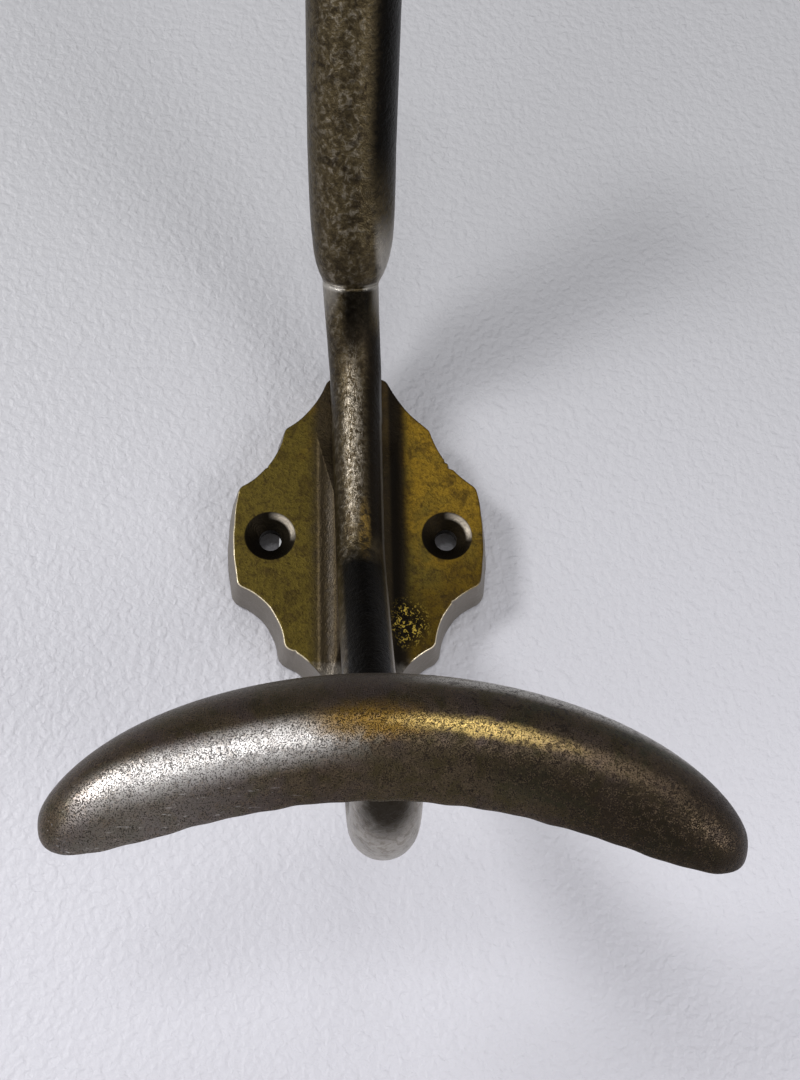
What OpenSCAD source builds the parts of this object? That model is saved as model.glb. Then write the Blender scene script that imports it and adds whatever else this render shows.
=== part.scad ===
// Coat and hat hook: one casting in brass. A scalloped back plate carries a round stem,
// which turns outward at the top into a thick hat arm and at the bottom into a curved
// coat arm with a wide crescent rest across its end.
// The wall is the plane y = 0, the arms stand out along -Y and +Z is up. The origin is
// midway between the two screw holes, on the wall.

/* [Back plate] */
// Width across the two bowed sides, at the front face
plate_w = 44; // [40:0.5:50]
// Height between the crowned ends, at the front face
plate_h = 61.2; // [54:0.2:66]
// Depth from the wall to the front face
plate_t = 8; // [6.5:0.1:9.5]
// Slope of the sides, so that the casting leaves its mould, in degrees
draft = 9; // [2:0.5:12]
// Radius of the twelve corners, at the front face
corner_r = 1.8; // [0.8:0.1:2.4]
// Hollow of the four long scallops above the holes, at their deepest
upper_hollow = 1.7; // [1:0.1:2.4]
// Hollow of the four long scallops below the holes, at their deepest
lower_hollow = 2.1; // [1:0.1:2.6]
// Thickness of the front skin over the hollow back
skin_t = 4.2; // [3.4:0.1:5]
// Thickness of the rim round the hollow back
rim_t = 3; // [2:0.1:4.5]

/* [Screw holes] */
// Distance between the two holes
hole_spacing = 31; // [28:0.5:33]
// Diameter of the hole for the screw's shank
hole_d = 3.9; // [3:0.1:5]
// Diameter of the countersink at the front face
sink_d = 8.7; // [7:0.1:9.5]
// Included angle of the countersink, in degrees
sink_angle = 90; // [82:1:100]

/* [Stem] */
// Distance of the stem's centre line from the wall
stem_out = 11.4; // [10.5:0.1:12.5]
// Diameter of the stem where the coat arm leaves it
stem_d = 8.4; // [7.5:0.1:9.5]
// Diameter of the stem where it bends outward to the hat arm
stem_top_d = 9; // [8:0.1:9.6]
// Width of the low ridge that the stem lies on
ridge_w = 14; // [11:0.5:17]
// Height of that ridge above the plate
ridge_h = 3; // [2:0.1:3.6]
// Length over which that ridge swells and dies away; the plate's lower end cuts it short
ridge_len = 52; // [46:1:60]
// Height of the ridge's fullest point, against the screw holes
ridge_z = -8; // [-12:0.5:-4]

/* [Hat arm] */
// Height at which the stem starts to bend outward
hat_bend_z = 24; // [20:0.5:28]
// Radius of that bend, on the centre line
hat_bend_r = 24; // [18:0.5:32]
// Lean of the hat arm outward from the upright, in degrees
hat_lean = 46; // [35:1:55]
// Diameter of the neck below the shoulder
neck_d = 9.9; // [9:0.1:10.3]
// Diameter of the shoulder where the thick arm begins
shoulder_d = 10.6; // [10.1:0.1:12]
// Diameter of the arm where its rounded lower end is complete
grip_d = 14.8; // [13.4:0.1:16]
// Length of that rounded lower end
round_len = 18; // [12:0.5:24]
// Diameter of the arm at its thickest, where the tip begins to round
knob_d = 16.1; // [15:0.1:18]
// Length of the arm from its shoulder to its tip
hat_len = 68; // [55:1:80]

/* [Coat arm] */
// Height at which the coat arm starts to leave the plate
coat_bend_z = -2; // [-6:0.5:2]
// Radius of that first bend, on the centre line
coat_bend_r = 12; // [8:0.5:16]
// Distance from the wall to the lowest point of the centre line
bottom_out = 58; // [50:0.5:60]
// Height of the lowest point of the centre line
bottom_z = -58.8; // [-64:0.1:-54]
// Radius of the curve down to the lowest point
sweep_r = 20; // [14:0.5:26]
// Radius of the curve up into the rest
upturn_r = 11; // [9.5:0.5:12.5]
// Diameter of the arm at its lowest point
coat_d = 9.4; // [8.6:0.1:10.4]

/* [Coat rest] */
// Distance from the wall to the middle of the rest's flat back
rest_out = 70; // [68:0.5:72]
// Height of the middle of the rest's flat back
rest_z = -50.3; // [-53:0.1:-47]
// Length of the rest from tip to tip
rest_w = 88.8; // [70:0.2:110]
// Height of its flat back, at the middle
rest_h = 18.6; // [16:0.1:22]
// Depth from the flat back to the crown of the front, at the middle
rest_t = 7.6; // [6:0.1:9]
// Radius of the arch that the rest follows
arch_r = 78; // [60:1:110]
// Squareness of the two ends: a low value tapers the rest along its whole length
end_power = 6; // [3:0.5:10]
// Lean of the flat back, top towards the wall, in degrees
rest_lean = 20; // [10:1:28]
// Radius of the edge along the top of the flat back
rest_edge_r = 2; // [1:0.1:3]

/* [As cast] */
// Lean of both arms to one side of the plate's upright, in degrees
arms_skew = 0.8; // [0:0.1:2]
// Dip of the rest's right end, in degrees
rest_dip = 2.4; // [0:0.1:4]
// Distance of the rest's middle to the right of the plate's middle
rest_shift = 2.2; // [0:0.1:3]

/* [Hidden] */
$fn = 96;

// The plate's corners in the upper right quarter: at the crowned end, between the two
// scallops, and at the bowed side. The lower ones mirror them.
side_bow_r = 1.07 * plate_w;
end_bow_r = plate_h;
end_x = 0.12 * plate_w;
side_z = 0.15 * plate_h;
end_corner = [end_x, plate_h / 2 - end_bow_r + sqrt(end_bow_r ^ 2 - end_x ^ 2)];
mid_corner = [0.296 * plate_w, 0.333 * plate_h];
side_corner = [plate_w / 2 - side_bow_r + sqrt(side_bow_r ^ 2 - side_z ^ 2), side_z];
over = 1;                                // how far a cutting solid runs past the cast
plate_top = plate_t + ridge_h + over;

// Each arc of the outline is [centre, radius, side]: side is 1 where the plate lies inside
// the circle, as at its bowed ends and sides, and -1 where it lies outside, as at a scallop.
end_arc = [[0, plate_h / 2 - end_bow_r], end_bow_r, 1];
side_arc = [[plate_w / 2 - side_bow_r, 0], side_bow_r, 1];
upper_arcs = quarter_arcs(0.65 * upper_hollow, upper_hollow);
lower_arcs = quarter_arcs(0.9 * lower_hollow, lower_hollow);
corner_shy = 0.03;                       // how far short of the sides a corner's round stops
corner_reach = 3 * (corner_r + plate_t * tan(draft));

sink_r = sink_d / 2;
sink_drop = sink_r / tan(sink_angle / 2);

ridge_side_r = (ridge_w ^ 2 / 4 + ridge_h ^ 2) / (2 * ridge_h);
ridge_long_r = (ridge_len ^ 2 / 4 + ridge_h ^ 2) / (2 * ridge_h);

stem_r = stem_d / 2;
stem_top_r = stem_top_d / 2;
neck_r = neck_d / 2;
neck_len = 3;
hat_turn = [stem_out + hat_bend_r, hat_bend_z];
hat_dir = [sin(hat_lean), cos(hat_lean)];
neck_start = hat_turn + hat_bend_r * [-cos(hat_lean), sin(hat_lean)];
shoulder = neck_start + neck_len * hat_dir;
grip_r = grip_d / 2;
knob_r = knob_d / 2;
swell = grip_r - shoulder_d / 2;
swell_r = (swell ^ 2 + round_len ^ 2) / (2 * swell);
tip_start = hat_len - knob_r;

// The straight leg of the coat arm touches two bends: the first leaves the stem and the
// second carries the arm through its lowest point.
coat_r = coat_d / 2;
first_turn = [stem_out + coat_bend_r, coat_bend_z];
sweep_turn = [bottom_out, bottom_z + sweep_r];
turn_gap = sweep_turn - first_turn;
leg_angle = atan2(turn_gap.y, turn_gap.x) - asin((sweep_r - coat_bend_r) / norm(turn_gap));
leg_side = [-sin(leg_angle), cos(leg_angle)];
leg_start = first_turn - coat_bend_r * leg_side;
leg_end = sweep_turn - sweep_r * leg_side;
leg_mid = (leg_start + leg_end) / 2;
upturn_angle = 78;
upturn_turn = [bottom_out, bottom_z + upturn_r];
root_start = upturn_turn + upturn_r * [sin(upturn_angle), -cos(upturn_angle)];
root_end = root_start + 4 * [cos(upturn_angle), sin(upturn_angle)];
root_r = 1.08 * coat_r;                  // the arm swells as it runs into the rest
lap = 0.3;                               // how far each length of bar reaches into the next
seat = 0.05;                             // how much thinner one of the two is, so that it fits

// Section of the rest, seen from its right end: x from the flat back to the front, y up
// along the flat back from its middle. The front is one arc, sharp at the lower edge.
crown_r = (rest_h ^ 2 / 4 + rest_t ^ 2) / (2 * rest_t);
crown_x = rest_t - crown_r;
edge_y = sqrt((crown_r - rest_edge_r) ^ 2 - (rest_edge_r - crown_x) ^ 2);
sharp_angle = -acos(-crown_x / crown_r);
edge_angle = atan2(edge_y, rest_edge_r - crown_x);
heart = [0, 0.145 * rest_h];             // the point that the section shrinks to
front_steps = 20;
edge_steps = 5;
stations = 56;
section = concat(
    [for (i = [0 : front_steps])
        let (a = sharp_angle + (edge_angle - sharp_angle) * i / front_steps)
        [crown_x, 0] + crown_r * [cos(a), sin(a)]],
    [for (i = [1 : edge_steps])
        let (a = edge_angle + (180 - edge_angle) * i / edge_steps)
        [rest_edge_r, edge_y] + rest_edge_r * [cos(a), sin(a)]]);

// Arc of a scallop between two corners, hollowed by deep at its middle
function scallop(a, b, deep) =
    let (run = (b - a) / norm(b - a), outward = [abs(run.y), abs(run.x)],
         r = (norm(b - a) ^ 2 / 4 + deep ^ 2) / (2 * deep))
    [(a + b) / 2 + outward * (r - deep), r, -1];

// The four arcs of the upper right quarter, from the end round to the side
function quarter_arcs(end_hollow, side_hollow) = [
    end_arc,
    scallop(end_corner, mid_corner, end_hollow),
    scallop(mid_corner, side_corner, side_hollow),
    side_arc];

// Centre of the corner round that touches two arcs: of the two places, the one nearer the
// plate's middle
function corner_centre(a, b) =
    let (gap = b[0] - a[0], run = gap / norm(gap),
         from_a = a[1] - a[2] * corner_r, from_b = b[1] - b[2] * corner_r,
         along = (from_a ^ 2 - from_b ^ 2 + norm(gap) ^ 2) / (2 * norm(gap)),
         foot = a[0] + along * run,
         aside = sqrt(from_a ^ 2 - along ^ 2) * [-run.y, run.x])
    norm(foot + aside) < norm(foot - aside) ? foot + aside : foot - aside;

// Direction from a corner's centre to the point where its round meets an arc
function touching(centre, arc) = arc[2] * (centre - arc[0]) / norm(centre - arc[0]);

// Turns a side view into place: x is the distance from the wall and y is up
module side_view() {
    rotate([90, 0, -90]) children();
}

// Turns a front view into place, with its thickness growing out of the wall
module front_view() {
    rotate([90, 0, 0]) children();
}

// Round cone whose radius is r at the plate's front face and changes towards the wall by
// the draft, wider for spread 1 and narrower for spread -1
module drafted(centre, r, spread) {
    slope = spread * tan(draft);
    translate([centre.x, centre.y, -over])
        cylinder(h = plate_top + over, r1 = r + slope * (plate_t + over),
                 r2 = r + slope * (plate_t - plate_top));
}

// Solid of the circle that an arc belongs to, moved by inset into the plate
module drafted_arc(arc, inset) {
    drafted(arc[0], arc[1] - arc[2] * inset, arc[2]);
}

// Draws its children in each of the plate's quarters, with that quarter's arcs in $arcs
module quarters() {
    for (side = [0, 1]) mirror([side, 0, 0]) {
        let ($arcs = upper_arcs) children();
        mirror([0, 1, 0]) let ($arcs = lower_arcs) children();
    }
}

// The plate's outline as a solid, smaller all round by inset, with sharp corners
module plate_form(inset) {
    difference() {
        intersection() {
            drafted_arc(side_arc, inset);
            mirror([1, 0, 0]) drafted_arc(side_arc, inset);
            drafted_arc(end_arc, inset);
            mirror([0, 1, 0]) drafted_arc(end_arc, inset);
        }
        quarters() for (i = [1, 2]) drafted_arc($arcs[i], inset);
    }
}

// What a corner loses when it is rounded: the part of a wedge that lies beyond the round
module corner_tip(a, b) {
    centre = corner_centre(a, b);
    difference() {
        translate([0, 0, -over / 2]) linear_extrude(plate_top)
            polygon([centre, centre + corner_reach * touching(centre, a),
                     centre + corner_reach * touching(centre, b)]);
        drafted(centre, corner_r - corner_shy, 1);
    }
}

// Plate with its ridge, hollow behind
module back_plate() {
    difference() {
        intersection() {
            plate_form(0);
            union() {
                translate([-plate_w, -plate_h, 0]) cube([2 * plate_w, 2 * plate_h, plate_t]);
                ridge();
            }
        }
        quarters() for (i = [0 : 2]) corner_tip($arcs[i], $arcs[i + 1]);
        intersection() {
            plate_form(rim_t);
            translate([-plate_w, -plate_h, -over])
                cube([2 * plate_w, 2 * plate_h, plate_t - skin_t + over]);
        }
        for (side = [-1, 1]) translate([side * hole_spacing / 2, 0, 0]) screw_hole();
    }
}

// Bowed across and along: the overlap of two lying cylinders
module ridge() {
    intersection() {
        translate([0, 0, plate_t + ridge_h - ridge_side_r]) rotate([90, 0, 0])
            cylinder(h = 2 * plate_h, r = ridge_side_r, center = true);
        translate([0, ridge_z, plate_t + ridge_h - ridge_long_r]) rotate([0, 90, 0])
            cylinder(h = plate_w, r = ridge_long_r, center = true);
        translate([-plate_w / 2, -plate_h, plate_t - over])
            cube([plate_w, 2 * plate_h, ridge_h + 2 * over]);
    }
}

module screw_hole() {
    translate([0, 0, -over]) cylinder(h = plate_top + over, d = hole_d);
    translate([0, 0, plate_t - sink_drop])
        cylinder(h = sink_drop + over, r1 = 0, r2 = sink_r * (1 + over / sink_drop));
}

// Round bar between two points of the side view, with a lap at both ends
module link(a, b, r1, r2) {
    run = b - a;
    translate([a.x, a.y, 0]) rotate([0, 0, atan2(run.y, run.x)]) rotate([0, 90, 0])
        translate([0, 0, -lap]) cylinder(h = norm(run) + 2 * lap, r1 = r1, r2 = r2);
}

// Round bar bent about a centre of the side view, from one angle to another, with a lap
// at both ends
module bend(centre, turn_r, from, to, r) {
    lap_angle = lap / turn_r * 180 / PI;
    translate([centre.x, centre.y, 0]) rotate([0, 0, from - lap_angle])
        rotate_extrude(angle = to - from + 2 * lap_angle) translate([turn_r, 0]) circle(r = r);
}

module stem() {
    link([stem_out, coat_bend_z], [stem_out, hat_bend_z], stem_r, stem_top_r);
    bend(hat_turn, hat_bend_r, 180 - hat_lean, 180, stem_top_r - seat);
    link(neck_start, shoulder, stem_top_r, neck_r);
}

// Thick arm with a rounded lower end, a slight swell towards the tip and a domed tip
module hat_arm() {
    translate([shoulder.x, shoulder.y, 0]) rotate([0, 0, 90 - hat_lean]) rotate([0, 90, 0])
        rotate_extrude() {
            intersection() {
                square([grip_r, round_len]);
                translate([grip_r - swell_r, round_len]) circle(r = swell_r);
            }
            polygon([[0, round_len], [grip_r, round_len], [knob_r, tip_start], [0, tip_start]]);
            intersection() {
                translate([0, tip_start]) circle(r = knob_r);
                translate([0, tip_start]) square([knob_r, knob_r]);
            }
        }
}

module coat_arm() {
    bend(first_turn, coat_bend_r, 180, 270 + leg_angle, stem_r - seat);
    link(leg_start, leg_mid, stem_r, stem_r);
    link(leg_mid, leg_end, stem_r + seat, coat_r);
    bend(sweep_turn, sweep_r, 270 + leg_angle, 270, coat_r - seat);
    bend(upturn_turn, upturn_r, 270, 270 + upturn_angle, coat_r);
    link(root_start, root_end, coat_r + seat, root_r);
}

// A point of the rest: the section shrunk to size about its heart, leaned back, and set
// down the arch at x
function rest_point(x, size, p) =
    let (q = heart + size * (p - heart))
    [x,
     q.y * sin(rest_lean) - q.x * cos(rest_lean),
     q.y * cos(rest_lean) + q.x * sin(rest_lean) + sqrt(arch_r ^ 2 - x ^ 2) - arch_r];

module coat_rest() {
    m = len(section);
    half = rest_w / 2;
    rings = [for (i = [1 : stations - 1])
        let (u = -cos(180 * i / stations), size = sqrt(1 - abs(u) ^ end_power))
        for (p = section) rest_point(u * half, size, p)];
    last = len(rings);
    tips = [rest_point(-half, 0, heart), rest_point(half, 0, heart)];
    sides = [for (i = [0 : stations - 3], j = [0 : m - 1])
        let (k = (j + 1) % m, a = i * m + j, b = i * m + k)
        each [[a, b, a + m], [b, b + m, a + m]]];
    ends = [for (j = [0 : m - 1])
        let (k = (j + 1) % m)
        each [[last, k, j], [last + 1, last - m + j, last - m + k]]];
    translate([rest_shift, -rest_out, rest_z]) rotate([0, rest_dip, 0])
        polyhedron(points = concat(rings, tips), faces = concat(sides, ends));
}

module hook() {
    color([0.45, 0.35, 0.2]) {
        front_view() back_plate();
        rotate([0, -arms_skew, 0]) side_view() {
            stem();
            hat_arm();
            coat_arm();
        }
        coat_rest();
    }
}

hook();
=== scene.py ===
import math
import bpy
import bmesh
import numpy as np
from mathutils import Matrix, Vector


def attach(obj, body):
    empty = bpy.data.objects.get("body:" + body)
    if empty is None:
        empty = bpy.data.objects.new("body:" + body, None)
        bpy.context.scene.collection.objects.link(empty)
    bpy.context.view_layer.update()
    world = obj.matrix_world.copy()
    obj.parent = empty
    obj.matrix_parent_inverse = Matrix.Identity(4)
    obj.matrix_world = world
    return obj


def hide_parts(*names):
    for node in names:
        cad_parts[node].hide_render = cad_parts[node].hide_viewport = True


# Coat and hat hook in old cast brass, lying flat against a painted wall.
# The wall is the plane y = 0, the arms stand out along -Y and +Z is up.
# Sizes are in millimetres until a mesh is made, and the frame is in metres.

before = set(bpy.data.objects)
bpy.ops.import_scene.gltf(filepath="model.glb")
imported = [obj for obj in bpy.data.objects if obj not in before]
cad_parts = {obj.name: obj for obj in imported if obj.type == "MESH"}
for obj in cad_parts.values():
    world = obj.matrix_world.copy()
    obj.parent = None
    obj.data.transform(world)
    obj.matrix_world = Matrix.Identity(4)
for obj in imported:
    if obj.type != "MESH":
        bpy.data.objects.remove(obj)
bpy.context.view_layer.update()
scene = bpy.context.scene
mm = 0.001


class Wire:
    # a socket that stands in an expression: each sign adds its Math node
    def __init__(self, bench, socket):
        self.bench = bench
        self.socket = socket

    def calculate(self, operation, first, second=0.0):
        return self.bench.add("ShaderNodeMath", {"operation": operation}, {0: first, 1: second})

    def __add__(self, other):
        return self.calculate("ADD", self, other)

    def __radd__(self, other):
        return self.calculate("ADD", other, self)

    def __sub__(self, other):
        return self.calculate("SUBTRACT", self, other)

    def __rsub__(self, other):
        return self.calculate("SUBTRACT", other, self)

    def __mul__(self, other):
        return self.calculate("MULTIPLY", self, other)

    def __rmul__(self, other):
        return self.calculate("MULTIPLY", other, self)

    def __truediv__(self, other):
        return self.calculate("DIVIDE", self, other)

    def __pow__(self, other):
        return self.calculate("POWER", self, other)

    def __abs__(self):
        return self.calculate("ABSOLUTE", self)


class Bench:
    # the nodes of one material or world, laid out as they are asked for
    def __init__(self, owner):
        self.owner = owner
        owner.use_nodes = True
        self.tree = owner.node_tree
        self.tree.nodes.clear()

    def add(self, kind, settings=None, links=None, out=0):
        node = self.tree.nodes.new(kind)
        for key, value in (settings or {}).items():
            setattr(node, key, value)
        for key, value in (links or {}).items():
            if isinstance(value, Wire):
                self.tree.links.new(value.socket, node.inputs[key])
            else:
                node.inputs[key].default_value = value
        if isinstance(out, tuple):
            return [Wire(self, node.outputs[name]) for name in out]
        if len(node.outputs):
            return Wire(self, node.outputs[out])

    def rise(self, value, low, high):
        # 0 below low, 1 above high, soft between
        return self.add("ShaderNodeMapRange", {"interpolation_type": "SMOOTHSTEP"},
                        {"Value": value, "From Min": low, "From Max": high})

    def fall(self, value, low, high):
        return 1 - self.rise(value, low, high)

    def noise(self, place, perMm, detail, rough, twist):
        return self.add("ShaderNodeTexNoise", None,
                        {"Vector": place, "Scale": perMm, "Detail": detail, "Roughness": rough,
                         "Distortion": twist})

    def mix(self, amount, first, second):
        # inputs 6 and 7 and output 2 are the Mix node's colour sockets
        return self.add("ShaderNodeMix", {"data_type": "RGBA"}, {0: amount, 6: first, 7: second}, out=2)

    def stretch(self, place, turn, scale):
        # the same place turned (degrees) and scaled, so that a pattern on it is drawn out
        return self.add("ShaderNodeMapping", None,
                        {"Vector": place, "Rotation": [math.radians(a) for a in turn], "Scale": scale})

    def spot(self, across, up, centre, size, edge):
        # 1 inside an oval, 0 outside, with a soft edge
        far = (((across - centre[0]) / size[0]) ** 2 + ((up - centre[1]) / size[1]) ** 2) ** 0.5
        return self.fall(far, 1 - edge, 1 + edge)

    def places(self):
        # the place on the piece in millimetres, and its three parts
        inMetres = self.add("ShaderNodeTexCoord", out="Object")
        place = self.add("ShaderNodeMapping", None, {"Vector": inMetres, "Scale": [1 / mm] * 3})
        return [place] + self.add("ShaderNodeSeparateXYZ", None, {"Vector": place}, out=("X", "Y", "Z"))

    def facing(self):
        # the three parts of the outward normal
        normal = self.add("ShaderNodeNewGeometry", out="Normal")
        return self.add("ShaderNodeSeparateXYZ", None, {"Vector": normal}, out=("X", "Y", "Z"))

    def bump(self, height, depth):
        return self.add("ShaderNodeBump", None, {"Strength": 1.0, "Distance": depth * mm, "Height": height})

    def metalSkin(self, tint, rough, metal, height, depth):
        skin = self.add("ShaderNodeBsdfPrincipled", None,
                        {"Base Color": tint, "Roughness": rough, "Metallic": metal,
                         "Normal": self.bump(height, depth)})
        self.add("ShaderNodeOutputMaterial", None, {"Surface": skin})
        return self.owner


def colour(r, g, b):
    return (r, g, b, 1.0)


def makeObject(name, verts, faces):
    mesh = bpy.data.meshes.new(name)
    mesh.from_pydata([tuple(v) for v in verts], [], faces)
    obj = bpy.data.objects.new(name, mesh)
    scene.collection.objects.link(obj)
    cleanMesh(mesh)
    return obj


def cleanMesh(mesh, sharpAngle=55):
    # doubles merged, faces turned outward, smooth but for real edges
    bm = bmesh.new()
    bm.from_mesh(mesh)
    bmesh.ops.remove_doubles(bm, verts=bm.verts, dist=1e-6)
    bmesh.ops.recalc_face_normals(bm, faces=bm.faces)
    bm.to_mesh(mesh)
    bm.free()
    mesh.polygons.foreach_set("use_smooth", [True] * len(mesh.polygons))
    mesh.set_sharp_from_angle(angle=math.radians(sharpAngle))


def bakeModifiers(obj):
    # the evaluated shape as a plain mesh, with nothing live left on the object
    view = bpy.context.evaluated_depsgraph_get()
    mesh = bpy.data.meshes.new_from_object(obj.evaluated_get(view))
    obj.modifiers.clear()
    old = obj.data
    obj.data = mesh
    bpy.data.meshes.remove(old)


def bridge(rings):
    # quads between closed rings of equal length, given as index lists
    faces = []
    for a, b in zip(rings, rings[1:]):
        for i in range(len(a)):
            j = (i + 1) % len(a)
            faces.append((a[i], a[j], b[j], b[i]))
    return faces


def fan(ring, tip):
    # triangles that close a ring with one point in its middle
    return [(ring[i], ring[(i + 1) % len(ring)], tip) for i in range(len(ring))]


# millimetres, and degrees about x, y and z
camera = {"place": (-10.32, -264.64, -94.05), "turn": (109.931, 1.262, -3.448), "lens": 52.0}

eye = bpy.data.objects.new("eye", bpy.data.cameras.new("eye"))
eye.data.lens = camera["lens"]
eye.data.clip_start = 0.01
eye.location = Vector(camera["place"]) * mm
eye.rotation_euler = [math.radians(a) for a in camera["turn"]]
scene.collection.objects.link(eye)
scene.camera = eye
print("camera set")


plate = {
    "width": 44.0, "height": 61.2, "depth": 8.0, "draft": 9.0, "cornerRadius": 1.8,
    # the outline's corners as shares of the width and height, and the sides' radius as a share of the width
    "midShare": (0.296, 0.333), "sideShare": 0.15, "endShare": 0.12, "sideRadiusShare": 1.07,
    # how deep the hollows are, and the ones nearest the ends as a share of their neighbours
    "upperLeftHollow": 1.7, "upperRightHollow": 1.3, "lowerHollow": 2.1,
    "upperEndShare": 0.65, "lowerEndShare": 0.9,
    "skin": 4.2, "rim": 3.0, "rimEdge": 0.2, "roofFillet": 0.5, "arris": 0.3, "backEdge": 0.3,
    "holeSpacing": 31.0, "holeRadius": 1.95, "sinkRadius": 4.35, "cutterPast": 1.0,
    # the countersink's mouth: steps out from its radius and up from the plate's face
    "sinkMouth": [(-0.12, -0.12), (0.05, -0.03), (0.3, 0.02), (0.4, 2.0)],
    "ridgeWidth": 14.0, "ridgeHeight": 3.0, "ridgeLength": 52.0, "ridgeMiddle": -8.0, "ridgeFillet": 0.5,
    # nicks in the front edge: direction in degrees, half width in degrees, depth
    "nicks": [(38.5, 1.3, 0.5), (42.0, 0.9, 0.25), (-37.0, 0.8, 0.2), (141.0, 0.7, 0.18), (-118.0, 0.6, 0.2)],
    "nicksFrom": 5.5, "wave": 0.07, "sharpFrom": 38,
}
noHit = 1e9  # stands for the distance where a direction meets no arc
leastRound = 0.05  # a corner with a smaller radius than this is left sharp


def scallop(a, b, deep):
    # the arc that hollows the outline between two of its corners
    run = (b - a) / np.linalg.norm(b - a)
    radius = (np.dot(b - a, b - a) / 4 + deep ** 2) / (2 * deep)
    return (a + b) / 2 + abs(run[::-1]) * (radius - deep), radius, -1


def quarterArcs(endHollow, sideHollow):
    # arcs of one quarter from the end round to the side: centre, radius, and 1 where the plate
    # lies inside the circle or -1 where it lies outside
    w, h = plate["width"], plate["height"]
    sideRadius, endRadius = plate["sideRadiusShare"] * w, h
    endX, sideZ = plate["endShare"] * w, plate["sideShare"] * h
    endCorner = np.array([endX, h / 2 - endRadius + math.sqrt(endRadius ** 2 - endX ** 2)])
    midCorner = np.array(plate["midShare"]) * (w, h)
    sideCorner = np.array([w / 2 - sideRadius + math.sqrt(sideRadius ** 2 - sideZ ** 2), sideZ])
    return [(np.array([0.0, h / 2 - endRadius]), endRadius, 1),
            scallop(endCorner, midCorner, endHollow),
            scallop(midCorner, sideCorner, sideHollow),
            (np.array([w / 2 - sideRadius, 0.0]), sideRadius, 1)]


def cornerRound(first, second):
    # centre of the round that touches two arcs, and the directions to where it touches them
    reach = [radius - side * plate["cornerRadius"] for centre, radius, side in (first, second)]
    gap = second[0] - first[0]
    length = np.linalg.norm(gap)
    run = gap / length
    along = (reach[0] ** 2 - reach[1] ** 2 + length ** 2) / (2 * length)
    aside = math.sqrt(reach[0] ** 2 - along ** 2) * np.array([-run[1], run[0]])
    foot = first[0] + along * run
    centre = min((foot + aside, foot - aside), key=np.linalg.norm)
    touches = [side * (centre - c) / np.linalg.norm(centre - c) for c, radius, side in (first, second)]
    return centre, touches


def cross(a, b):
    # more than 0 where b is turned to the left of a
    return a[0] * b[1] - a[1] * b[0]


def quarterReach(ux, uz, arcs, inset, slope):
    # distance from the middle to the outline in the directions (ux, uz) of one quarter
    reach = np.full(len(ux), noHit)

    def hits(centre, size, far):
        # how far off each direction meets a circle, on its far side or its near one
        along = ux * centre[0] + uz * centre[1]
        under = along ** 2 - centre.dot(centre) + size ** 2
        root = np.sqrt(np.maximum(under, 0))
        return np.where((under > 0) & (along + root > 0), along + (root if far else -root), noHit)

    for centre, radius, side in arcs:
        reach = np.minimum(reach, hits(centre, radius + side * (slope - inset), side > 0))
    size = plate["cornerRadius"] + slope - inset
    if size > leastRound:
        for first, second in zip(arcs, arcs[1:]):
            centre, (a, b) = cornerRound(first, second)
            hit = hits(centre, size, True)
            way = (ux * hit - centre[0], uz * hit - centre[1])
            inWedge = (cross(a, way) * cross(a, b) > 0) & (cross(way, b) * cross(a, b) > 0)
            reach = np.where(inWedge & (hit < noHit), np.minimum(reach, hit), reach)
    return reach


def plateReach(angles, inset, depth):
    # the same all the way round, at a depth measured from the wall and this far inside the outline
    slope = math.tan(math.radians(plate["draft"])) * (plate["depth"] - depth)
    ux, uz = np.cos(angles), np.sin(angles)
    reach = np.zeros(len(angles))
    for right in (True, False):
        for upper in (True, False):
            hollow = plate["lowerHollow"]
            if upper:
                hollow = plate["upperRightHollow" if right else "upperLeftHollow"]
            arcs = quarterArcs(plate["upperEndShare" if upper else "lowerEndShare"] * hollow, hollow)
            here = ((ux >= 0) == right) & ((uz >= 0) == upper)
            reach[here] = quarterReach(abs(ux[here]), abs(uz[here]), arcs, inset, slope)
    return reach


def handMarks(angles, depth):
    # what filing and knocks took off the outline: three waves round it, and nicks in the front edge
    turn = np.degrees(angles)
    inFront = np.clip((depth - plate["nicksFrom"]) / (plate["depth"] - plate["nicksFrom"]), 0, 1)
    loss = plate["wave"] * (np.sin(7 * angles + 1) + np.sin(17 * angles) + np.sin(31 * angles + 2) + 3) / 3
    for at, half, deep in plate["nicks"]:
        off = (turn - at + 180) % 360 - 180
        loss = loss + deep * np.exp(-(off / half) ** 2) * inFront
    return loss


def ridgeHeight(x, z):
    # the low ridge, bowed across and along, with a small fillet where it meets the flat
    wide, tall, long = plate["ridgeWidth"], plate["ridgeHeight"], plate["ridgeLength"]
    acrossRadius = (wide ** 2 / 4 + tall ** 2) / (2 * tall)
    alongRadius = (long ** 2 / 4 + tall ** 2) / (2 * tall)
    across = tall - acrossRadius + np.sqrt(np.maximum(acrossRadius ** 2 - x ** 2, 0))
    fromMiddle = z - plate["ridgeMiddle"]
    along = tall - alongRadius + np.sqrt(np.maximum(alongRadius ** 2 - fromMiddle ** 2, 0))
    height = np.minimum(across, along)
    k = plate["ridgeFillet"]
    blend = np.clip(0.5 + 0.5 * height / k, 0, 1)
    return height * blend + k * blend * (1 - blend)


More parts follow.
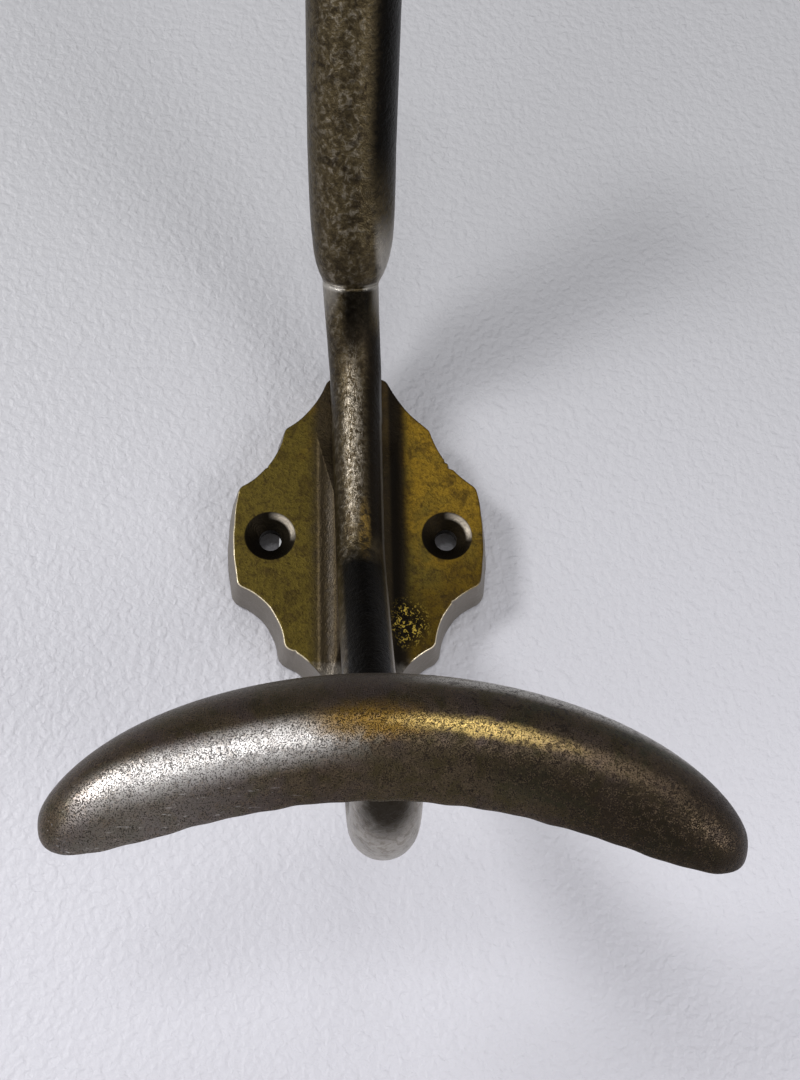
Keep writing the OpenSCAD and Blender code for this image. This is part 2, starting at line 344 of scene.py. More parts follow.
def makePlate(angleSteps=900, frontRings=90, crowding=0.9):
    angles = np.linspace(0, 2 * math.pi, angleSteps, endpoint=False)
    verts, rings = [], []

    def outline(inset, depth):
        return plateReach(angles, inset, depth) - handMarks(angles, depth)

    def ring(reach, depth):
        x, z = reach * np.cos(angles), reach * np.sin(angles)
        rings.append(list(range(len(verts), len(verts) + angleSteps)))
        verts.extend(np.c_[x, -np.broadcast_to(depth, x.shape), z] * mm)

    def front(reach):
        return plate["depth"] + ridgeHeight(reach * np.cos(angles), reach * np.sin(angles))

    # the front face, in rings from the middle out
    arris, backEdge = plate["arris"], plate["backEdge"]
    flat = outline(arris, plate["depth"])
    for i in range(1, frontRings + 1):
        reach = flat * (i / frontRings) ** crowding
        ring(reach, front(reach))
    # its rounded front edge, the drafted side and the rounded back edge
    top = front(outline(0, plate["depth"]))
    for turn in (22, 45, 67, 90):
        t = math.radians(turn)
        ring(outline(arris * (1 - math.sin(t)), plate["depth"]), top - arris * (1 - math.cos(t)))
    for share in (0.8, 0.6, 0.4, 0.2):
        ring(outline(0, plate["depth"] * share), plate["depth"] * share)
    for turn in (0, 30, 60, 90):
        t = math.radians(turn)
        ring(outline(backEdge * (1 - math.cos(t)), backEdge), backEdge * (1 - math.sin(t)))
    # the rim and the hollow back
    rim, rimEdge, fillet = plate["rim"], plate["rimEdge"], plate["roofFillet"]
    roof = plate["depth"] - plate["skin"]
    for inset, depth in ((rim - rimEdge, 0.0), (rim, rimEdge), (rim, roof / 2), (rim, roof - fillet),
                         (rim + 0.3 * fillet, roof - 0.3 * fillet), (rim + fillet, roof)):
        ring(outline(inset, depth), depth)
    inner = outline(rim + fillet, roof)
    for share in (0.75, 0.5, 0.25):
        ring(inner * share, roof)
    faces = bridge(rings)
    for ringNow, depth in ((rings[0], front(np.zeros(angleSteps))[0]), (rings[-1], roof)):
        verts.append(np.array([0, -depth, 0]) * mm)
        faces += fan(ringNow, len(verts) - 1)
    return makeObject("backPlate", verts, faces)


def makeHoleCutter(x, steps=96):
    # shank hole and countersink as one turned cutter, its mouth slightly rounded
    hole, sink, top = plate["holeRadius"], plate["sinkRadius"], plate["depth"]
    profile = [(hole, -plate["cutterPast"]), (hole, top - (sink - hole))]
    profile += [(sink + out, top + up) for out, up in plate["sinkMouth"]]
    turns = np.linspace(0, 2 * math.pi, steps, endpoint=False)
    verts = [np.array([x + r * math.cos(t), -depth, r * math.sin(t)]) * mm
             for r, depth in profile for t in turns]
    rings = [list(range(k * steps, (k + 1) * steps)) for k in range(len(profile))]
    verts += [np.array([x, -profile[0][1], 0]) * mm, np.array([x, -profile[-1][1], 0]) * mm]
    faces = bridge(rings) + fan(rings[0], len(verts) - 2) + fan(rings[-1], len(verts) - 1)
    return makeObject("holeCutter", verts, faces)


backPlate = makePlate()
cutters = [makeHoleCutter(side * plate["holeSpacing"] / 2) for side in (-1, 1)]
for cutter in cutters:
    cut = backPlate.modifiers.new("hole", "BOOLEAN")
    cut.operation = "DIFFERENCE"
    cut.solver = "EXACT"
    cut.object = cutter
bakeModifiers(backPlate)
for cutter in cutters:
    bpy.data.objects.remove(cutter)
cleanMesh(backPlate.data, plate["sharpFrom"])
print("back plate", len(backPlate.data.polygons), "faces")


arms = {
    "stemOut": 11.4, "stemRadius": 4.2, "stemTopRadius": 4.5,
    "hatBendHeight": 24.0, "hatBendRadius": 24.0, "hatLean": 46.0,
    "neckRadius": 4.97, "neckLength": 3.0, "shoulderSwell": 2.45, "swellLength": 3.9,
    "gripRadius": 7.3, "knobRadius": 8.05, "hatLength": 67.98,
    "coatBendHeight": -2.0, "coatBendRadius": 12.0, "bottomOut": 58.0, "bottomHeight": -58.8,
    "sweepRadius": 20.0, "upturnRadius": 11.0, "upturnAngle": 78.0,
    "coatRadius": 4.7, "rootRadius": 5.1, "rootLength": 4.0, "legSwellsFrom": 0.45, "legSwellPower": 1.5,
    # the crease under the shoulder: places along the arm, and how much thinner than the neck it is there
    "crease": [(0.1, -0.1), (0.0, 0.12), (-0.12, 0.16), (-0.3, 0.06), (-0.5, 0.0)],
    "skew": 0.8, "sides": 96, "sharpFrom": 60,
    # points along each length of the bar
    "steps": {"tip": 26, "neck": 6, "hatBend": 34, "stem": 44, "coatBend": 20, "leg": 60, "sweep": 26,
              "upturn": 26, "root": 6},
    # the hat arm isn't quite straight: heights, and how far it sways to the right there
    "swayHeights": (20, 30, 36, 43, 49, 60, 75, 95),
    "sway": (0.1, 0.05, -0.25, -0.75, -0.45, -0.65, -0.5, -0.1),
}


def hatRun():
    # (distance from the wall, height) of the middle of the hat arm's bend and of its shoulder,
    # and the way that the arm runs from there
    a = arms
    lean = math.radians(a["hatLean"])
    away = np.array([math.sin(lean), math.cos(lean)])
    bend = np.array([a["stemOut"] + a["hatBendRadius"], a["hatBendHeight"]])
    neck = bend + a["hatBendRadius"] * np.array([-away[1], away[0]])
    return bend, neck + a["neckLength"] * away, away


def armPath():
    # (distance from the wall, height, radius) from the hat arm's tip down to the coat rest
    a = arms
    lean = math.radians(a["hatLean"])
    bend, shoulder, away = hatRun()
    steps = a["steps"]
    path = []

    def along(t, r):
        path.append((*(shoulder + t * away), r))

    # the round tip, the grip in closer steps toward the shoulder, and the crease
    tipStart = a["hatLength"] - a["knobRadius"]
    for turn in np.radians(np.linspace(88.5, 3, steps["tip"])):
        along(tipStart + a["knobRadius"] * math.sin(turn), a["knobRadius"] * math.cos(turn))
    gripSteps = [np.linspace(tipStart, 16, 60), np.linspace(15.4, 1.0, 36), [0.8, 0.6, 0.4, 0.28, 0.18]]
    for t in np.concatenate(gripSteps):
        grip = a["gripRadius"] + (a["knobRadius"] - a["gripRadius"]) * t / tipStart
        along(t, grip - a["shoulderSwell"] * math.exp(-t / a["swellLength"]))
    for t, less in a["crease"]:
        along(t, a["neckRadius"] - less)
    taper = a["neckLength"] + a["hatBendRadius"] * lean

    def thinned(length):
        return a["neckRadius"] + (a["stemTopRadius"] - a["neckRadius"]) * length / taper

    # the neck, the bend and the stem, each a little thinner than the one above
    for t in np.linspace(0.9, a["neckLength"], steps["neck"]):
        along(-t, thinned(t))
    for turn in np.linspace(lean, 0, steps["hatBend"])[1:]:
        out, up = bend + a["hatBendRadius"] * np.array([-math.cos(turn), math.sin(turn)])
        path.append((out, up, thinned(a["neckLength"] + (lean - turn) * a["hatBendRadius"])))
    drop = a["coatBendHeight"] - a["hatBendHeight"]
    for share in np.linspace(0, 1, steps["stem"])[1:]:
        path.append((a["stemOut"], a["hatBendHeight"] + drop * share,
                     a["stemTopRadius"] + (a["stemRadius"] - a["stemTopRadius"]) * share))
    return path + coatPath()


def coatPath():
    # the coat arm, from the stem through its lowest point and up into the rest
    a, steps = arms, arms["steps"]
    first = np.array([a["stemOut"] + a["coatBendRadius"], a["coatBendHeight"]])
    sweep = np.array([a["bottomOut"], a["bottomHeight"] + a["sweepRadius"]])
    upturn = np.array([a["bottomOut"], a["bottomHeight"] + a["upturnRadius"]])
    gap = sweep - first
    tighter = a["sweepRadius"] - a["coatBendRadius"]
    leg = math.atan2(gap[1], gap[0]) - math.asin(tighter / np.linalg.norm(gap))  # the leg's slope
    path = []

    def bend(centre, radius, start, end, points, thick):
        for share in np.linspace(0, 1, points)[1:]:
            turn = start + (end - start) * share
            path.append((*(centre + radius * np.array([math.cos(turn), math.sin(turn)])), thick(share)))

    down = 1.5 * math.pi  # straight down, as an angle
    last = math.radians(a["upturnAngle"])
    bend(first, a["coatBendRadius"], math.pi, down + leg, steps["coatBend"], lambda share: a["stemRadius"])
    side = np.array([-math.sin(leg), math.cos(leg)])
    start, end = first - a["coatBendRadius"] * side, sweep - a["sweepRadius"] * side
    for share in np.linspace(0, 1, steps["leg"])[1:]:
        swelling = max(0, (share - a["legSwellsFrom"]) / (1 - a["legSwellsFrom"])) ** a["legSwellPower"]
        path.append((*(start + (end - start) * share),
                     a["stemRadius"] + (a["coatRadius"] - a["stemRadius"]) * swelling))
    bend(sweep, a["sweepRadius"], down + leg, down, steps["sweep"], lambda share: a["coatRadius"])
    bend(upturn, a["upturnRadius"], down, down + last, steps["upturn"],
         lambda share: a["coatRadius"] + (a["rootRadius"] - a["coatRadius"]) * share ** 2)
    rootAt = np.array(path[-1][:2])
    for t in np.linspace(0, a["rootLength"], steps["root"])[1:]:
        path.append((*(rootAt + t * np.array([math.cos(last), math.sin(last)])), a["rootRadius"]))
    return path


def barTree():
    # sweeps a round section along a line of points that carry their own thickness
    tree = bpy.data.node_groups.new("roundBar", "GeometryNodeTree")
    face = tree.interface
    face.new_socket("Geometry", in_out="INPUT", socket_type="NodeSocketGeometry")
    face.new_socket("Sides", in_out="INPUT", socket_type="NodeSocketInt")
    face.new_socket("Finish", in_out="INPUT", socket_type="NodeSocketMaterial")
    face.new_socket("Geometry", in_out="OUTPUT", socket_type="NodeSocketGeometry")
    nodes, links = tree.nodes, tree.links
    given, done = nodes.new("NodeGroupInput"), nodes.new("NodeGroupOutput")
    line = nodes.new("GeometryNodeMeshToCurve")
    thick = nodes.new("GeometryNodeInputNamedAttribute")
    thick.data_type = "FLOAT"
    thick.inputs["Name"].default_value = "thickness"
    ring = nodes.new("GeometryNodeCurvePrimitiveCircle")
    ring.inputs["Radius"].default_value = 1.0
    sweep = nodes.new("GeometryNodeCurveToMesh")
    sweep.inputs["Fill Caps"].default_value = True
    real = nodes.new("GeometryNodeRealizeInstances")
    finish = nodes.new("GeometryNodeSetMaterial")
    links.new(given.outputs["Geometry"], line.inputs[0])
    links.new(line.outputs[0], sweep.inputs["Curve"])
    links.new(thick.outputs["Attribute"], sweep.inputs["Scale"])
    links.new(given.outputs["Sides"], ring.inputs["Resolution"])
    links.new(ring.outputs[0], sweep.inputs["Profile Curve"])
    links.new(sweep.outputs[0], real.inputs[0])
    links.new(real.outputs[0], finish.inputs["Geometry"])
    links.new(given.outputs["Finish"], finish.inputs["Material"])
    links.new(finish.outputs[0], done.inputs[0])
    return tree


def sweepBar(name, path, sides, finish):
    skew = math.radians(arms["skew"])
    mesh = bpy.data.meshes.new(name)
    verts = []
    for out, up, radius in path:
        sway = np.interp(up, arms["swayHeights"], arms["sway"], left=0.0)
        verts.append(((sway - up * math.sin(skew)) * mm, -out * mm, up * math.cos(skew) * mm))
    mesh.from_pydata(verts, [(i, i + 1) for i in range(len(verts) - 1)], [])
    thickness = mesh.attributes.new("thickness", "FLOAT", "POINT")
    thickness.data.foreach_set("value", [radius * mm for out, up, radius in path])
    bar = bpy.data.objects.new(name, mesh)
    scene.collection.objects.link(bar)
    sweep = bar.modifiers.new("sweep", "NODES")
    sweep.node_group = barTree()
    sockets = {item.name: item.identifier for item in sweep.node_group.interface.items_tree
               if item.in_out == "INPUT"}
    sweep[sockets["Sides"]] = sides
    sweep[sockets["Finish"]] = finish
    bakeModifiers(bar)
    cleanMesh(bar.data, arms["sharpFrom"])
    return bar


rest = {
    "out": 69.97, "height": -50.3, "width": 88.78, "tall": 18.6, "depth": 7.6,
    "archRadius": 78.0, "endPower": 6.0, "lean": 20.0, "dip": 2.4, "shift": 2.2,
    "heart": 0.145,  # the section shrinks toward this share of the height above its middle at the ends
    "backEdge": 2.0, "arris": 0.22, "edgeWave": 0.14,
    "stations": 260, "frontSteps": 48, "edgeSteps": 12, "backSteps": 14,
}


def restSection():
    # (from the flat back to the front, up along the flat back)
    half, deep, edge, arris = rest["tall"] / 2, rest["depth"], rest["backEdge"], rest["arris"]
    radius = (half ** 2 + deep ** 2) / (2 * deep)
    centre = deep - radius
    edgeUp = math.sqrt((radius - edge) ** 2 - (edge - centre) ** 2)
    low = -math.acos(-centre / radius) + arris / radius
    high = math.atan2(edgeUp, edge - centre)
    front = np.linspace(low, high, rest["frontSteps"])
    topEdge = np.linspace(high, math.pi, rest["edgeSteps"])[1:]
    points = [(centre + radius * math.cos(a), radius * math.sin(a)) for a in front]
    points += [(edge + edge * math.cos(a), edgeUp + edge * math.sin(a)) for a in topEdge]
    points += [(0.0, up) for up in np.linspace(edgeUp, -half + arris * 1.6, rest["backSteps"])[1:]]
    points += [(arris * 0.15, -half + arris * 0.75)]  # takes the sharpness off the lower back edge
    return np.array(points)


def makeRest():
    section = restSection()
    heart = np.array([0.0, rest["heart"] * rest["tall"]])
    lean, dip = math.radians(rest["lean"]), math.radians(rest["dip"])
    half, arch = rest["width"] / 2, rest["archRadius"]
    lowness = np.clip(-section[:, 1] / (rest["tall"] / 2), 0, 1) ** 3

    def place(x, points):
        out = rest["out"] - points[:, 1] * math.sin(lean) + points[:, 0] * math.cos(lean)
        up = points[:, 1] * math.cos(lean) + points[:, 0] * math.sin(lean)
        up = up + math.sqrt(arch ** 2 - x ** 2) - arch
        return np.c_[x * math.cos(dip) + up * math.sin(dip) + rest["shift"], -out,
                     up * math.cos(dip) - x * math.sin(dip) + rest["height"]] * mm

    # stations crowd toward the ends, and three waves along the lower edge stand for wear
    verts, rings = [], []
    for i in range(1, rest["stations"]):
        u = -math.cos(math.pi * i / rest["stations"])
        size = math.sqrt(1 - abs(u) ** rest["endPower"])
        wave = rest["edgeWave"] * (math.sin(u * 23 + 1) + math.sin(u * 41) + math.sin(u * 67 + 2) + 3) / 3
        worn = section + np.c_[np.zeros(len(section)), lowness * wave]
        rings.append(list(range(len(verts), len(verts) + len(section))))
        verts.extend(place(u * half, heart + size * (worn - heart)))
    faces = bridge(rings)
    for ringNow, x in ((rings[0], -half), (rings[-1], half)):
        verts.append(place(x, heart[None])[0])
        faces += fan(ringNow, len(verts) - 1)
    return makeObject("coatRest", verts, faces)


# what a metal colour means here: the share of red, green and blue that it throws back
# a pattern is given as marks per mm, detail, roughness and twist
# a pair of places, in mm, is where a mark's soft edge begins and where it ends

plateLook = {
    "olive": colour(0.088, 0.064, 0.012), "gold": colour(0.22, 0.132, 0.014),
    "low": colour(0.085, 0.052, 0.006), "stain": colour(0.028, 0.017, 0.007),
    "ridge": colour(0.026, 0.019, 0.012), "ridgeShine": colour(0.05, 0.042, 0.033),
    "bare": colour(0.26, 0.235, 0.205), "arris": colour(0.95, 0.84, 0.62),
    "pit": colour(0.008, 0.006, 0.004), "speck": colour(0.42, 0.3, 0.05),
    "cone": colour(0.5, 0.44, 0.36),
    "rough": 0.46, "metal": 0.95, "castDepth": 0.14,
    "cloud": (0.16, 4.0, 0.6, 0.6), "blotch": (0.42, 4.0, 0.62, 0.8),
    "fleck": (1.1, 3.0, 0.6, 0.3), "grain": (3.2, 2.0, 0.6, 0.0), "curl": (1.7, 2.0, 0.5, 1.2),
    "ridgeAt": -0.2, "ridgeSides": (6.4, 9.4),
    "shineLeft": (-6.0, -5.2), "shineRight": (-4.9, -4.2), "shineEnds": (12, 22),
    "shadeLeft": (5.2, 6.0), "shadeRight": (7.4, 9.0),
    "grooveShadeLeft": (-4.3, -3.9), "grooveShadeRight": (-3.4, -2.8),
    "pittedAt": (9.4, -15.6), "pittedSize": (2.9, 3.6),
    "wornBelow": (-23.5, -20.5), "arrisAside": (8.4, 9.4), "arrisFades": (-16, 6),
    # these lie round the countersinks, measured outward from their radius
    "rimFades": (0.0, 0.25), "clearOfRim": (0.35, 0.55),
    "coneInner": (-1.05, -0.55), "coneOuter": (-0.25, 0.15),
}


def plateFinish():
    # golden where worn, olive and brown elsewhere, pale grey on the sides, a bright front edge partly painted
    # highlight, painted shade black in the countersinks
    t = plateLook
    b = Bench(bpy.data.materials.new("plateBrass"))
    place, x, y, z = b.places()
    outward = b.facing()[1]
    names = ("cloud", "blotch", "fleck", "grain")
    cloud, blotch, fleck, grain = [b.noise(place, *t[name]) for name in names]

    golden = b.rise(cloud * 1.1 + x * 0.022 + z * 0.014, 0.6, 1.12)  # most at the upper right
    tint = b.mix(golden, t["olive"], t["gold"])
    tint = b.mix(b.rise(x * 0.05 - z * 0.05 + cloud, 1.25, 1.9) * 0.85, tint, t["low"])
    tint = b.mix(b.rise(blotch, 0.46, 0.68) * 0.55, tint, t["stain"])
    tint = b.mix(b.rise(fleck, 0.5, 0.66) * 0.4, tint, t["stain"])
    tint = b.mix(b.rise(grain, 0.5, 0.68) * 0.35, tint, t["pit"])

    # the ridge: brown, with a painted highlight down its left flank, a painted shadow down its right and
    # painted shade in the groove beside the stem
    onRidge = b.fall(abs(x - t["ridgeAt"]) + (blotch - 0.5) * 3.0, *t["ridgeSides"])
    tint = b.mix(onRidge * 0.9, tint, t["ridge"])
    # painted highlight down the ridge's left flank
    shine = b.rise(x + (fleck - 0.5) * 1.2, *t["shineLeft"]) * b.fall(x, *t["shineRight"])
    shine = shine * b.fall(abs(z - plate["ridgeMiddle"]), *t["shineEnds"])
    tint = b.mix(shine * (0.1 + fleck), tint, t["ridgeShine"])
    # painted shadow down the ridge's right flank
    shadeFrom, shadeTo = t["shadeRight"]
    shade = b.rise(x, *t["shadeLeft"]) * b.fall(x, shadeFrom, shadeTo + blotch)
    tint = b.mix(shade * 0.93, tint, t["pit"])
    # painted shade in the groove beside the stem
    tint = b.mix(b.rise(x, *t["grooveShadeLeft"]) * b.fall(x, *t["grooveShadeRight"]) * 0.8, tint, t["pit"])

    # a patch of dark pits with gold between them, low on the right
    pitted = b.spot(x + blotch * 2, z + fleck, t["pittedAt"], t["pittedSize"], 0.5)
    tint = b.mix(pitted * 0.9, tint, t["pit"])
    tint = b.mix(pitted * b.rise(b.noise(place, *t["curl"]), 0.55, 0.61), tint, t["speck"])

    # worn to grey along the lower edge
    worn = b.fall(z + blotch * 5 - abs(x) * 0.1, *t["wornBelow"])
    tint = b.mix(worn * (0.1 + fleck * 0.5), tint, t["bare"])

    # the plate's sides are painted pale grey, and its front edge bright: partly wear, partly a painted
    # highlight strongest low on the left
    holeX = x - b.add("ShaderNodeMath", {"operation": "SIGN"}, {0: x}) * (plate["holeSpacing"] / 2)
    fromHole = (holeX ** 2 + z ** 2) ** 0.5
    offSink = fromHole - plate["sinkRadius"]
    clear = b.rise(offSink, *t["clearOfRim"])
    side = b.rise(outward, -0.6, -0.35) * clear
    tint = b.mix(side * (0.8 + blotch * 0.3), tint, t["bare"])
    arris = b.rise(outward, -0.97, -0.85) * b.fall(outward, -0.5, -0.3) * clear
    arris = arris * b.rise(abs(x), *t["arrisAside"])
    tint = b.mix(arris * (blotch + 0.3) * b.fall(x * 0.5 + z, *t["arrisFades"]), tint, t["arris"])

    # countersinks: painted shade makes the rim and cone black, with a painted highlight on the cone's upper
    # right
    tint = b.mix(b.fall(offSink, *t["rimFades"]) * 0.97, tint, t["pit"])
    upRight = (holeX * 0.75 + z * 0.66) / (fromHole + 0.01)
    lit = b.rise(upRight, 0.55, 0.98) * b.rise(offSink, *t["coneInner"]) * b.fall(offSink, *t["coneOuter"])
    tint = b.mix(lit * (0.4 + fleck), tint, t["cone"])

    rough = t["rough"] + (cloud - 0.5) * 0.3 + grain * 0.06 - arris * 0.15 - onRidge * 0.08
    height = grain * 0.5 + fleck * 0.8 + pitted * fleck * 2
    return b.metalSkin(tint, rough, t["metal"], height, t["castDepth"])


armLook = {
    "brown": colour(0.092, 0.07, 0.036), "rust": colour(0.15, 0.085, 0.036),
    "dark": colour(0.022, 0.016, 0.01), "black": colour(0.0025, 0.002, 0.0015),
    "silver": colour(0.42, 0.375, 0.31), "gold": colour(0.2, 0.125, 0.03),
    "pale": colour(0.62, 0.59, 0.54), "scratch": colour(0.42, 0.37, 0.3),
    "rough": 0.35, "metal": 0.97, "castDepth": 0.2,
    "cloud": (0.11, 4.0, 0.6, 0.5), "blotch": (0.45, 4.0, 0.6, 0.8),
    "mottle": (0.95, 4.0, 0.62, 0.5), "grain": (3.6, 2.0, 0.6, 0.0),
    "scratches": (1.0, 3.0, 0.6, 1.0), "scratchTurn": (8, 4, 0), "scratchScale": (2.2, 2.2, 0.42),
    # on the hat arm, across it and up it, or along it from its shoulder
    "rustUp": (70, 92), "flecksAt": -3.6, "flecksFade": (1.5, 6.0), "flecksUp": (66, 86), "hatFrom": (44, 46),
    "shadeBandLeft": (1.7, 5.0), "shadeBandRight": (5.4, 6.8), "shadeBandAlong": (5, 26), "reflectedEdgeFrom": (5.6, 6.9),
    "reflectedEndFrom": (3.6, 5.2), "reflectedEndFades": (7, 17), "creaseAt": -0.12, "creaseSides": (0.25, 0.9),
    "neckUp": (29, 34), "neckDark": (1.6, 3.8), "neckPale": (2.6, 3.8), "neckPaleUp": (36, 42),
    # on the stem, the leg and the lowest bend
    "stemUp": (-6, -1), "stemEnds": (33, 37), "stemShade": (1.2, 2.6), "sideReflectionEnds": (20, 30),
    "silverAt": (-1.7, 15.5), "silverSize": (1.6, 13.5), "rubAt": (0.3, -0.6), "rubSize": (0.9, 5.0),
    "legBelow": (-7.0, -3.0), "legEnds": (-56, -50), "bendBelow": (-58, -54),
    "tongueAt": (0.2, -58.0), "tongueSize": (3.4, 3.6),
}


def armFinish():
    # brown patina with fine silvery mottling, worn silver on the stem partly painted highlight, and painted
    # highlights, reflections and shade about the shoulder, stem and leg
    t = armLook
    b = Bench(bpy.data.materials.new("armBrass"))
    place, x, y, z = b.places()
    sideways, outward, upward = b.facing()
    names = ("cloud", "blotch", "mottle", "grain")
    cloud, blotch, mottle, grain = [b.noise(place, *t[name]) for name in names]
    scratch = b.noise(b.stretch(place, t["scratchTurn"], t["scratchScale"]), *t["scratches"])

    tint = b.mix(b.rise(blotch, 0.2, 0.58), t["dark"], t["brown"])
    tint = b.mix(b.rise(cloud, 0.5, 0.68) * b.rise(z, *t["rustUp"]) * 0.8, tint, t["rust"])
    # silvery flecks on the hat arm's left: mottled metal, partly a painted highlight where the light falls
    flecked = b.fall(abs(x - t["flecksAt"]), *t["flecksFade"]) * (0.35 + b.rise(z, *t["flecksUp"]) * 0.65)
    flecked = flecked * b.rise(blotch, 0.25, 0.55)
    tint = b.mix(b.rise(mottle, 0.48, 0.68) * (0.05 + flecked), tint, t["silver"])
    tint = b.mix(b.fall(mottle, 0.37, 0.5) * 0.55, tint, t["dark"])
    tint = b.mix(b.rise(grain, 0.48, 0.6) * 0.3, tint, t["dark"])

    # hat arm: painted shade as a dark band down its right, and a painted reflection as a thin paler edge
    # beyond it
    bend, shoulder, away = hatRun()
    alongHat = (z - shoulder[1]) * away[1] - (y + shoulder[0]) * away[0]
    onHat = b.rise(z, *t["hatFrom"])
    fanned = x - alongHat * 0.02  # the band spreads as the arm thickens
    shadeBand = b.rise(x + blotch * 2.4 + mottle * 2.4 - alongHat * 0.01, *t["shadeBandLeft"])
    shadeBand = shadeBand * b.fall(fanned, *t["shadeBandRight"])
    tint = b.mix(shadeBand * onHat * b.rise(alongHat, *t["shadeBandAlong"]) * 0.98, tint, t["black"])
    tint = b.mix(onHat * b.rise(fanned, *t["reflectedEdgeFrom"]) * 0.5, tint, t["pale"])

    # a painted reflection as pale metal on the right just above the shoulder, a painted highlight in its
    # crease, and a dark neck with painted reflections on its pale flanks
    reflectedEnd = b.rise(x + blotch * 1.6 + alongHat * 0.1, *t["reflectedEndFrom"]) * b.rise(alongHat, -0.4, 0.4)
    reflectedEnd = reflectedEnd * b.fall(alongHat + mottle * 6, *t["reflectedEndFades"])
    tint = b.mix(reflectedEnd * (0.2 + mottle * 0.7), tint, t["pale"])
    # painted highlight in the crease under the shoulder
    crease = b.fall(abs(alongHat - t["creaseAt"]), *t["creaseSides"]) * b.rise(abs(x + 0.9), 1.2, 2.6)
    tint = b.mix(crease * 0.6, tint, t["pale"])
    neck = b.rise(z, *t["neckUp"]) * b.fall(alongHat, -0.6, -0.1)
    tint = b.mix(neck * b.fall(abs(x + 0.2), *t["neckDark"]) * 0.93, tint, t["black"])
    # painted reflection on the neck's flanks
    neckFlank = b.rise(abs(x + 0.6), *t["neckPale"]) * b.rise(z, *t["neckPaleUp"])
    tint = b.mix(neck * neckFlank * 0.4, tint, t["pale"])

    # stem: scratched silver down its left half, partly a painted highlight; painted shade on its right; a
    # golden rub at the screws
    onStem = b.rise(z, *t["stemUp"]) * b.fall(z, *t["stemEnds"])
    # painted shade down the stem's right half
    tint = b.mix(onStem * b.rise(x + blotch, *t["stemShade"]) * 0.95, tint, t["black"])
    tint = b.mix(onStem * 0.45, tint, t["dark"])
    # worn silver, partly a painted highlight
    silver = b.spot(x - blotch * 1.4, z, t["silverAt"], t["silverSize"], 0.45)
    tint = b.mix(silver * b.rise(mottle, 0.42, 0.62) * 0.2, tint, t["silver"])
    lines = b.fall(abs(scratch - 0.5), 0.006, 0.035) * b.rise(grain, 0.36, 0.52)
    tint = b.mix(silver * lines, tint, t["scratch"])
    # painted reflection: a pale line down the right-facing side below the hat arm
    tint = b.mix(b.rise(sideways, 0.86, 0.95) * b.fall(z, *t["sideReflectionEnds"]) * 0.4, tint, t["pale"])
    rub = b.spot(x - blotch * 0.8, z + mottle * 3, t["rubAt"], t["rubSize"], 0.6)
    tint = b.mix(rub * b.rise(mottle, 0.36, 0.6) * 0.9, tint, t["gold"])

    # leg: painted shade makes its upper side black; its flanks stay brown
    onLeg = b.fall(z + blotch * 4, *t["legBelow"]) * b.rise(z, *t["legEnds"])
    shadedUpperSide = b.rise(upward, 0.1, 0.3) * b.fall(abs(sideways), 0.72, 0.9)
    tint = b.mix(onLeg * shadedUpperSide * 0.97, tint, t["black"])

    # the lowest bend: rubbed pale, with a dark tongue down from the rest
    onBend = b.fall(z, *t["bendBelow"])
    tint = b.mix(onBend * (0.05 + blotch), tint, t["pale"])
    tint = b.mix(onBend * b.rise(mottle, 0.48, 0.62) * 0.4, tint, t["brown"])
    tongue = b.spot(x - blotch, z, t["tongueAt"], t["tongueSize"], 0.4)
    tint = b.mix(tongue * 0.95, tint, t["dark"])

    rough = t["rough"] + (blotch - 0.5) * 0.25 + grain * 0.06 - silver * 0.06
    height = mottle * 0.9 + grain * 0.35 + silver * scratch * 0.4
    return b.metalSkin(tint, rough, t["metal"], height, t["castDepth"])


restLook = {
    "olive": colour(0.07, 0.055, 0.028), "brown": colour(0.1, 0.074, 0.048),
    "violet": colour(0.095, 0.07, 0.068), "green": colour(0.05, 0.05, 0.03),
    "dark": colour(0.022, 0.016, 0.01), "silver": colour(0.92, 0.885, 0.86),
    "gold": colour(0.95, 0.68, 0.23), "amber": colour(0.2, 0.115, 0.02),
    "pit": colour(0.02, 0.015, 0.012), "tan": colour(0.42, 0.3, 0.19), "edge": colour(0.6, 0.58, 0.54),
    "rough": 0.34, "metal": 0.97, "castDepth": 0.15,
    "cloud": (0.1, 4.0, 0.6, 0.6), "blotch": (0.4, 4.0, 0.6, 0.8),
    "mottle": (1.1, 3.0, 0.62, 0.4), "grain": (6.0, 1.0, 0.5, 0.0),
    "scratches": (1.0, 3.0, 0.7, 0.0), "scratchTurn": (0, -14, 0), "scratchScale": (0.35, 3.0, 3.0),
    # across the rest, or up its front from the middle of the arch
    "greenFrom": (8, 22), "highlightFrom": (-41, -27), "highlightEnds": (-10, 6), "highlightSides": (0.3, 3.9),
    "highlightDips": (-40, -22), "sheenEnds": (-30, -8), "sheenUnder": (-4, 2),
    "amberAt": (-1.5, 2.4), "amberSize": (7.0, 2.2), "goldHighlightAt": (15.5, 1.5), "goldHighlightSize": (9.0, 1.0),
    "tanHighlightAt": (32.0, 1.2), "tanHighlightSize": (13.0, 1.3), "stainAt": (25.0, -2.6), "stainSize": (15.0, 2.4),
    "darkEndFrom": (32, 46), "topFrom": (5.2, 8.0), "reflectedEdgeFrom": (6.4, 8.0), "reflectedEdgeRight": (0, 10),
    "pitsRight": (-8, 12), "scratchesUnder": (0, 4), "scratchesEnd": (-20, -6),
}


